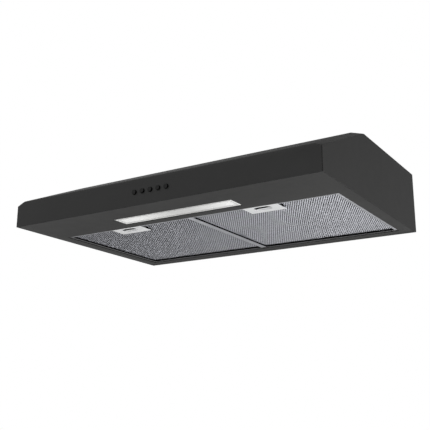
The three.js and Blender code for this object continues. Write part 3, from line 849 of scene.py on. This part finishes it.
def motor_housing():
    """Two pressed shells with rolled beads, vented at both ends."""
    node = "motor_housing"
    low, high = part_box(node)
    axis = centre_of(node)
    radius = (high.z - low.z) / 2
    half = (high.x - low.x) / 2
    bead, vents = 0.9 * MM, 10
    right = [
        (radius - bead, 0.8 * MM),
        (radius, 2 * MM),
        (radius, half - 18 * MM),
        (radius - bead, half - 17 * MM),
        (radius - bead, half - 15 * MM),
        (radius, half - 14 * MM),
        (radius, half - 9 * MM),
        (radius - 6 * MM, half - 4 * MM),
        (20 * MM, half),
        (12 * MM, half),
        (11 * MM, half - 1 * MM),
        (SHAFT_ROOM, half - 1 * MM),
    ]
    left = [(r, -s) for r, s in reversed(right)]
    profile = eased([(r, axis.x + s) for r, s in left + right], 1.2 * MM, 4)
    piece = lathed(node + "_fine", "x", axis, profile, 96)
    slot_low = Vector((half - 8 * MM, 22 * MM, -1.6 * MM))
    slot_high = Vector((half + 2 * MM, 28 * MM, 1.6 * MM))
    slots = []
    for facing in (math.pi, 0):
        flip = Matrix.Rotation(facing, 4, "Z")
        for k in range(vents):
            turn = Matrix.Rotation(2 * math.pi * k / vents, 4, "X")
            slot = block("slot", slot_low, slot_high)
            slot.data.transform(Matrix.Translation(axis) @ flip @ turn)
            slots.append(slot)
    return place(combined(piece, slots, "DIFFERENCE"), node)


def blade(bm, start, x0, x1, inner, outer, axis):
    """One forward curved blade: a thin arc in section, carried from x0 to x1."""
    steps, sweep, thick = 8, math.radians(26), 0.35 * MM
    sides = []
    for offset in (-thick, thick):
        for x in (x0, x1):
            row = []
            for k in range(steps + 1):
                t = k / steps
                radius = inner + (outer - inner) * t
                angle = start + sweep * t * t * 0.6 + offset / radius
                y = axis.y + radius * math.cos(angle)
                z = axis.z + radius * math.sin(angle)
                row.append(bm.verts.new((x, y, z)))
            sides.append(row)
    back_near, back_far, front_near, front_far = sides
    for k in range(steps):
        m = k + 1
        bm.faces.new((back_near[k], back_near[m], back_far[m], back_far[k]))
        bm.faces.new((front_near[k], front_far[k], front_far[m], front_near[m]))
        bm.faces.new((back_near[k], front_near[k], front_near[m], back_near[m]))
        bm.faces.new((back_far[k], back_far[m], front_far[m], front_far[k]))
    for k in (0, steps):
        bm.faces.new((back_near[k], back_far[k], front_far[k], front_near[k]))


def impeller(hand):
    """A squirrel cage: a hub plate with its boss, curved blades and a rim."""
    node = f"impeller_{hand}"
    low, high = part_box(node)
    axis = centre_of(node)
    outer = (high.z - low.z) / 2
    inner = outer - 7 * MM
    hub, rim = inner_and_outer(node, hand)
    into = 1 if rim > hub else -1
    sheet, boss, boss_end, blades = 1.5 * MM, 10 * MM, 14 * MM, 40
    plate = [
        (SHAFT_ROOM, hub),
        (outer, hub),
        (outer, hub + into * sheet),
        (boss, hub + into * sheet),
        (boss, hub + into * boss_end),
        (SHAFT_ROOM, hub + into * boss_end),
    ]
    band = inner + 1 * MM
    ring = [(band, rim - into * sheet), (outer, rim - into * sheet), (outer, rim), (band, rim)]
    piece = lathed(node + "_fine", "x", axis, eased(plate, 0.5 * MM), 96)
    rim_piece = lathed("rim", "x", axis, eased(ring, 0.3 * MM), 96)
    held = 1.2 * MM
    ends = (hub + into * held, rim - into * held)
    with editing(piece.data) as bm:
        bm.from_mesh(rim_piece.data)
        for k in range(blades):
            start = 2 * math.pi * k / blades
            blade(bm, start, *ends, inner, outer - 0.1 * MM, axis)
        bmesh.ops.recalc_face_normals(bm, faces=bm.faces)
    bpy.data.objects.remove(rim_piece)
    smooth(piece.data, 50)
    return place(piece, node)


def inlet_ring(hand):
    """A bellmouth that leads the air into the wheel."""
    node = f"inlet_ring_{hand}"
    tip, face = inner_and_outer(node, hand)
    out = 1 if face > tip else -1
    throat, mouth, flange, sheet = 36.5 * MM, 44 * MM, 52 * MM, 1 * MM
    flat = tip + out * 3.3 * MM
    profile = [
        (throat, tip),
        (37.3 * MM, tip),
        (38.6 * MM, flat),
        (flange, flat),
        (flange, flat + out * sheet),
        (mouth, flat + out * sheet),
        (39 * MM, face),
        (37.4 * MM, face - out * 0.5 * MM),
        (throat, face - out * 2 * MM),
    ]
    return turned(node, "x", profile, 0.8 * MM, 96)


motor_housing()
rod("rotor_shaft", "x", 0.8 * MM)
for hand in HANDS:
    impeller(hand)
    inlet_ring(hand)
    node = f"cradle_screw_{hand}"
    head, seat = inner_and_outer(node, hand)
    screw(node, "x", head, seat, 2.6 * MM)
    rod(f"hinge_rod_{hand}", "x", 0.5 * MM)
rod("damper_pin", "x", 0.5 * MM)


# ---------------------------------------------------------------- wiring


def cable_gland():
    """A threaded gland: a lock nut inside the top sheet and a domed cap above it."""
    node = "cable_gland"
    low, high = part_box(node)
    bore, neck, nut, cap = 7 * MM, 10 * MM, 14 * MM, 10.5 * MM
    nut_low, nut_high = low.z + 9 * MM, low.z + 13.8 * MM
    pitch, threads, root, dome = 1.5 * MM, 6, neck - 0.7 * MM, 0.8 * MM
    profile = [(bore, low.z)]
    for k in range(threads):
        z = low.z + pitch * k
        profile += [(root, z), (neck, z + pitch / 2)]
    profile += [(root, nut_low), (nut, nut_low), (nut, nut_high), (cap, nut_high)]
    profile += [(cap, high.z - dome), (cap - dome, high.z), (bore, high.z)]
    piece = lathed(node + "_fine", "z", centre_of(node), profile, 72)
    mesh = piece.data
    middle = centre_of(node)
    for vertex in mesh.vertices:
        across = Vector((vertex.co.x - middle.x, vertex.co.y - middle.y))
        if across.length > nut - 0.1 * MM:
            sector = math.pi / 3
            angle = (math.atan2(across.y, across.x) % sector) - sector / 2
            flat = (nut * math.cos(sector / 2)) / math.cos(angle)
            across *= min(1.0, flat / across.length)
            vertex.co.x, vertex.co.y = middle.x + across.x, middle.y + across.y
    smooth(mesh, 30)
    return place(piece, node)


def run_capacitor():
    """A round can with a crimped end and two blade terminals."""
    node = "run_capacitor"
    low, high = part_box(node)
    radius = (high.z - low.z) / 2
    can_end = high.x - 8 * MM
    profile = [
        (0, low.x),
        (radius - 1.5 * MM, low.x),
        (radius, low.x + 1.5 * MM),
        (radius, can_end - 5 * MM),
        (radius - 0.8 * MM, can_end - 4.4 * MM),
        (radius - 0.8 * MM, can_end - 3.4 * MM),
        (radius, can_end - 2.8 * MM),
        (radius - 0.6 * MM, can_end),
        (radius - 2.2 * MM, can_end),
        (radius - 2.8 * MM, can_end - 1 * MM),
        (0, can_end - 1 * MM),
    ]
    middle = centre_of(node)
    piece = lathed(node + "_fine", "x", middle, eased(profile, 0.4 * MM), 72)
    blades = []
    for at in (-5 * MM, 5 * MM):
        half = Vector((0, 3 * MM, 0.4 * MM))
        root = Vector((can_end - 2 * MM, middle.y + at, middle.z)) - half
        tip = Vector((high.x, middle.y + at, middle.z)) + half
        blades.append(softened(block("terminal", root, tip), 0.15 * MM))
    return place(combined(piece, blades, "UNION"), node)


cable_gland()
run_capacitor()
for number in (1, 2):
    node = f"cover_screw_{number}"
    low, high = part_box(node)
    screw(node, "z", low.z, low.z + 2 * MM, 3.4 * MM, 1.6 * MM, high.z)


# ---------------------------------------------------------------- filters

PITCH_X = 5.2 * MM
PITCH_Y = 9.6 * MM
BOND = 0.42  # half of a bond, as a share of half a pitch
FOIL = 0.12 * MM
LAYERS = (
    {"lift": 0.8 * MM, "tilt": -0.66 * MM, "shift": 0.0},
    {"lift": 2.3 * MM, "tilt": -0.5 * MM, "shift": PITCH_X / 2},
)


def expanded_grid(low, high, z, tilt, shift):
    """The middle surface of a sheet of expanded metal that covers a rectangle.

    Strands run between bonds on a centred lattice. Each bond has a right, upper, left and lower
    corner, and the right and left ones are off the sheet's plane, so every strand is tilted.
    """
    half_x, half_y = PITCH_X / 2, PITCH_Y / 2
    columns = int((high.x - low.x) / half_x) + 4
    rows = int((high.y - low.y) / half_y) + 4
    wide, long = BOND * half_x, BOND * half_y
    corners = ((wide, 0, tilt), (0, long, 0), (-wide, 0, -tilt), (0, -long, 0))
    vertices = []
    first = {}
    for i in range(columns):
        for j in range(rows):
            if (i + j) % 2:
                continue
            first[i, j] = len(vertices)
            x = low.x + (i - 1) * half_x + shift
            y = low.y + (j - 1) * half_y
            vertices += [(x + dx, y + dy, z + dz) for dx, dy, dz in corners]
    faces = []
    for (i, j), bond in first.items():
        right, upper, left, lower = (bond + k for k in range(4))
        faces.append((right, upper, left, lower))
        above = first.get((i + 1, j + 1))
        if above is not None:
            faces.append((right, above + 3, above + 2, upper))
        below = first.get((i + 1, j - 1))
        if below is not None:
            faces.append((lower, below + 2, below + 1, right))
    mesh = bpy.data.meshes.new("expanded")
    mesh.from_pydata(vertices, [], faces)
    return mesh


def inside(point, outline):
    """Whether a point is inside a convex outline that runs anticlockwise."""
    for (x0, y0), (x1, y1) in zip(outline, outline[1:] + outline[:1]):
        if (x1 - x0) * (point.y - y0) - (y1 - y0) * (point.x - x0) < 0:
            return False
    return True


def cut_opening(bm, outline):
    """Cuts a flat sheet along each side of an outline, near it only, and clears its inside."""
    x0, x1 = min(x for x, y in outline) - PITCH_Y, max(x for x, y in outline) + PITCH_Y
    y0, y1 = min(y for x, y in outline) - PITCH_Y, max(y for x, y in outline) + PITCH_Y
    for start, end in zip(outline, outline[1:] + outline[:1]):
        geometry = set()
        for face in bm.faces:
            middle = face.calc_center_median()
            if x0 < middle.x < x1 and y0 < middle.y < y1:
                geometry.add(face)
                geometry.update(face.edges)
                geometry.update(face.verts)
        normal = Vector((end[1] - start[1], start[0] - end[0], 0))
        bmesh.ops.bisect_plane(bm, geom=list(geometry), plane_co=(*start, 0), plane_no=normal)
    gone = [face for face in bm.faces if inside(face.calc_center_median(), outline)]
    bmesh.ops.delete(bm, geom=gone, context="FACES")


def trimmed(mesh, low, high, openings):
    """Cuts a flat sheet back to a rectangle, and cuts openings of a convex outline in it."""
    with editing(mesh) as bm:
        for axis in (0, 1):
            for corner, sign in ((low, -1), (high, 1)):
                normal = Vector((0, 0, 0))
                normal[axis] = sign
                everything = bm.verts[:] + bm.edges[:] + bm.faces[:]
                bmesh.ops.bisect_plane(
                    bm, geom=everything, plane_co=corner, plane_no=normal, clear_outer=True
                )
        for outline in openings:
            cut_opening(bm, outline)


def filter_pack(hand):
    """Two layers of expanded metal in place of a filter's plain plate."""
    node = f"filter_mesh_{hand}"
    low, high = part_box(node)
    plate_low, plate_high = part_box(f"latch_plate_{hand}")
    middle = (plate_low.x + plate_high.x) / 2
    half_channel = 26.2 * MM
    left, right = middle - half_channel, middle + half_channel
    front, back = low.y - PITCH_Y, plate_high.y - 1.0 * MM
    beside, edge = right - 1 * MM, plate_high.x
    near, widest, far = (plate_low.y + reach for reach in (15.6 * MM, 23.6 * MM, 59.6 * MM))
    openings = (
        [(left, front), (right, front), (right, back), (left, back)],
        [
            (beside, near),
            (edge - 9.7 * MM, near),
            (edge + 0.8 * MM, widest),
            (edge - 10.2 * MM, far),
            (beside, far),
        ],
    )
    for index, layer in enumerate(LAYERS):
        mesh = expanded_grid(low, high, low.z + layer["lift"], layer["tilt"], layer["shift"])
        trimmed(mesh, low, high, openings)
        piece = add_object(f"{node}_layer_{index + 1}", mesh)
        foil = piece.modifiers.new("foil", "SOLIDIFY")
        foil.thickness = FOIL
        foil.offset = 0
        baked(piece)
        place(piece, node)
        # The layer behind takes the darker foil, painted shade.
        if index:
            piece.data.materials[0] = FINISHES["inner_mesh"]


def hoop(name, low, high, wall, z0, z1):
    """A thin rectangular band that stands inside a rectangle."""
    mesh = bpy.data.meshes.new(name)
    with editing(mesh) as bm:
        rings = []
        for inset, z in ((0, z0), (wall, z0), (wall, z1), (0, z1)):
            corners = (
                (low.x + inset, low.y + inset, z),
                (high.x - inset, low.y + inset, z),
                (high.x - inset, high.y - inset, z),
                (low.x + inset, high.y - inset, z),
            )
            rings.append([bm.verts.new(corner) for corner in corners])
        for ring, following in zip(rings, rings[1:] + rings[:1]):
            bridge(bm, ring, following)
        bmesh.ops.recalc_face_normals(bm, faces=bm.faces)
    return add_object(name, mesh)


def filter_shade_strip(hand):
    """A matt black strip of painted shade that lines the inside of a filter's frame below the
    mesh.
    """
    low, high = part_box(f"filter_mesh_{hand}")
    to_frame, thick = 0.28 * MM, 0.26 * MM
    reach = Vector((to_frame, to_frame, 0))
    frame_low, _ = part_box(f"filter_frame_{hand}")
    lower_edge = frame_low.z + 0.1 * MM
    piece = hoop(f"filter_shade_strip_{hand}", low - reach, high + reach, thick, lower_edge, low.z)
    slide_low, slide_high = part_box(f"latch_slide_{hand}")
    room = Vector((0.6 * MM, 0, 1 * MM))
    gate = block("gate", slide_low - room, slide_high + room)
    combined(piece, [gate], "DIFFERENCE")
    dress_as_painted_shade(piece, f"filter_frame_{hand}")


def latch_slide(hand):
    """The slide: a tray with a window, and a hooked finger tab at the window's back."""
    node = f"latch_slide_{hand}"
    low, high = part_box(node)
    middle = centre_of(node)
    tray_low = low.z + 1.8 * MM
    tray = block(node + "_fine", (low.x, low.y, tray_low), high)
    half_window = 20.4 * MM
    window_low = (middle.x - half_window, low.y + 4.5 * MM, low.z)
    window_high = (middle.x + half_window, low.y + 26 * MM, high.z + 1 * MM)
    combined(tray, [block("window", window_low, window_high)], "DIFFERENCE")
    front, back, sheet = low.y + 20.7 * MM, low.y + 30.5 * MM, 0.6 * MM
    tab_top = tray_low + 0.2 * MM
    outline = [
        (front, low.z),
        (back - sheet, low.z),
        (back, low.z + sheet),
        (back, tab_top),
        (back - sheet, tab_top),
        (back - sheet, low.z + sheet),
        (front, low.z + sheet),
    ]
    tab = prism("tab", outline, middle.x - 17 * MM, middle.x + 18 * MM)
    place(softened(combined(tray, [tab], "UNION"), 0.15 * MM), node)


def latch_shade_liner(hand):
    """A matt black liner of painted shade in the channel round the slide and its spring."""
    slide_low, slide_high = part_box(f"latch_slide_{hand}")
    _, spring_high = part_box(f"latch_spring_{hand}")
    middle = (slide_low.x + slide_high.x) / 2
    wall, reach = 0.3 * MM, 24.55 * MM
    floor_z, top_z = slide_high.z + 0.2 * MM, slide_high.z + 4.55 * MM
    outer_low = Vector((middle - reach, slide_low.y + 6.7 * MM, floor_z))
    outer_high = Vector((middle + reach, spring_high.y + 0.25 * MM, top_z))
    inner_low = outer_low + Vector((wall, wall, -1 * MM))
    inner_high = outer_high - Vector((wall, wall, wall))
    liner = block(f"latch_shade_liner_{hand}", outer_low, outer_high)
    combined(liner, [block("hollow", inner_low, inner_high)], "DIFFERENCE")
    softened(liner, 0.08 * MM)
    dress_as_painted_shade(liner, f"latch_plate_{hand}")


for hand in HANDS:
    filter_pack(hand)
    filter_shade_strip(hand)
    latch_slide(hand)
    pressed_coil(f"latch_spring_{hand}", 0.3 * MM)
    latch_shade_liner(hand)


# ---------------------------------------------------------------- studio

# Brightness of the room's light along X, Y and Z, from the high side of each and the low one.
FROM_HIGH_SIDE = (0.03, 0.42, 0.06)
FROM_LOW_SIDE = (0.65, 1.45, 0.3)
# Each lamp's name, position, size and power.
LAMPS = (
    ("bounce", (0.3, 0.2, -1.45), 1.6, 17.0),
    ("right", (2.6, 0.6, -0.5), 1.6, 56),
    ("above", (-0.6, -0.3, 2.0), 2.0, 17),
)
UNDER_HOOD = Vector((0, 0, -0.14))
FLOOR = -2.0
FLOOR_RADIUS = 7
WHITE = (1, 1, 1, 1)


def studio_world():
    """White behind the hood, and a soft room light that differs from side to side."""
    world = bpy.data.worlds.new("studio")
    bpy.context.scene.world = world
    world.use_nodes = True
    tree = world.node_tree
    tree.nodes.clear()
    direction = tree.nodes.new("ShaderNodeTexCoord").outputs["Generated"]

    def vector_node(operation, first, second):
        made = tree.nodes.new("ShaderNodeVectorMath")
        made.operation = operation
        tree.links.new(first, made.inputs[0])
        if isinstance(second, tuple):
            made.inputs[1].default_value = second
        else:
            tree.links.new(second, made.inputs[1])
        return made

    total = tree.nodes.new("ShaderNodeMath")
    total.operation = "ADD"
    sides = (("MAXIMUM", FROM_HIGH_SIDE), ("MINIMUM", FROM_LOW_SIDE))
    for index, (clamp, levels) in enumerate(sides):
        half = vector_node(clamp, direction, (0.0, 0.0, 0.0)).outputs["Vector"]
        square = vector_node("MULTIPLY", half, half).outputs["Vector"]
        share = vector_node("DOT_PRODUCT", square, levels).outputs["Value"]
        tree.links.new(share, total.inputs[index])
    room = tree.nodes.new("ShaderNodeBackground")
    tree.links.new(total.outputs["Value"], room.inputs["Strength"])
    backdrop = tree.nodes.new("ShaderNodeBackground")
    for light in (room, backdrop):
        light.inputs["Color"].default_value = WHITE
    path = tree.nodes.new("ShaderNodeLightPath")
    mix = tree.nodes.new("ShaderNodeMixShader")
    tree.links.new(path.outputs["Is Camera Ray"], mix.inputs["Fac"])
    tree.links.new(room.outputs["Background"], mix.inputs[1])
    tree.links.new(backdrop.outputs["Background"], mix.inputs[2])
    output = tree.nodes.new("ShaderNodeOutputWorld")
    tree.links.new(mix.outputs["Shader"], output.inputs["Surface"])


def area_light(name, position, size, power):
    """A square lamp that faces the hood's underside and stays out of the picture."""
    light = bpy.data.lights.new(name, "AREA")
    light.shape = "SQUARE"
    light.size = size
    light.energy = power
    lamp = add_object(name, light)
    lamp.location = position
    lamp.rotation_euler = (UNDER_HOOD - Vector(position)).to_track_quat("-Z", "Y").to_euler()
    lamp.visible_camera = False


def floor():
    """A plain pale floor under the hood."""
    mesh = bpy.data.meshes.new("floor")
    with editing(mesh) as bm:
        bmesh.ops.create_circle(bm, cap_ends=True, segments=96, radius=FLOOR_RADIUS)
    piece = add_object("floor", mesh)
    piece.location.z = FLOOR
    finish = Finish("floor", Roughness=0.8, Specular_IOR_Level=0.2)
    finish.mottle(colour(228, 228, 227), colour(234, 234, 233), 0.6)
    mesh.materials.append(finish.material)


def camera():
    """A camera below the hood, to the right of its front."""
    azimuth = math.radians(32.38)
    elevation = math.radians(-15.27)
    roll = math.radians(0.217)
    distance = 1.7247
    target = Vector((-0.0087, 0, -0.1044))
    back = Vector(
        (
            math.sin(azimuth) * math.cos(elevation),
            -math.cos(azimuth) * math.cos(elevation),
            math.sin(elevation),
        )
    )
    right = (-back).cross(Vector((0, 0, 1))).normalized()
    up = right.cross(-back)
    across = math.cos(roll) * right + math.sin(roll) * up
    upright = math.cos(roll) * up - math.sin(roll) * right
    data = bpy.data.cameras.new("camera")
    data.lens = 62.10
    data.sensor_width = 36
    data.clip_start = 0.05
    eye = add_object("camera", data)
    turn = Matrix((across, upright, back)).transposed().to_4x4()
    eye.matrix_world = Matrix.Translation(target + back * distance) @ turn
    bpy.context.scene.camera = eye


studio_world()
floor()
camera()
for name, position, size, power in LAMPS:
    area_light(name, position, size, power)
bpy.context.scene.view_settings.view_transform = "Standard"
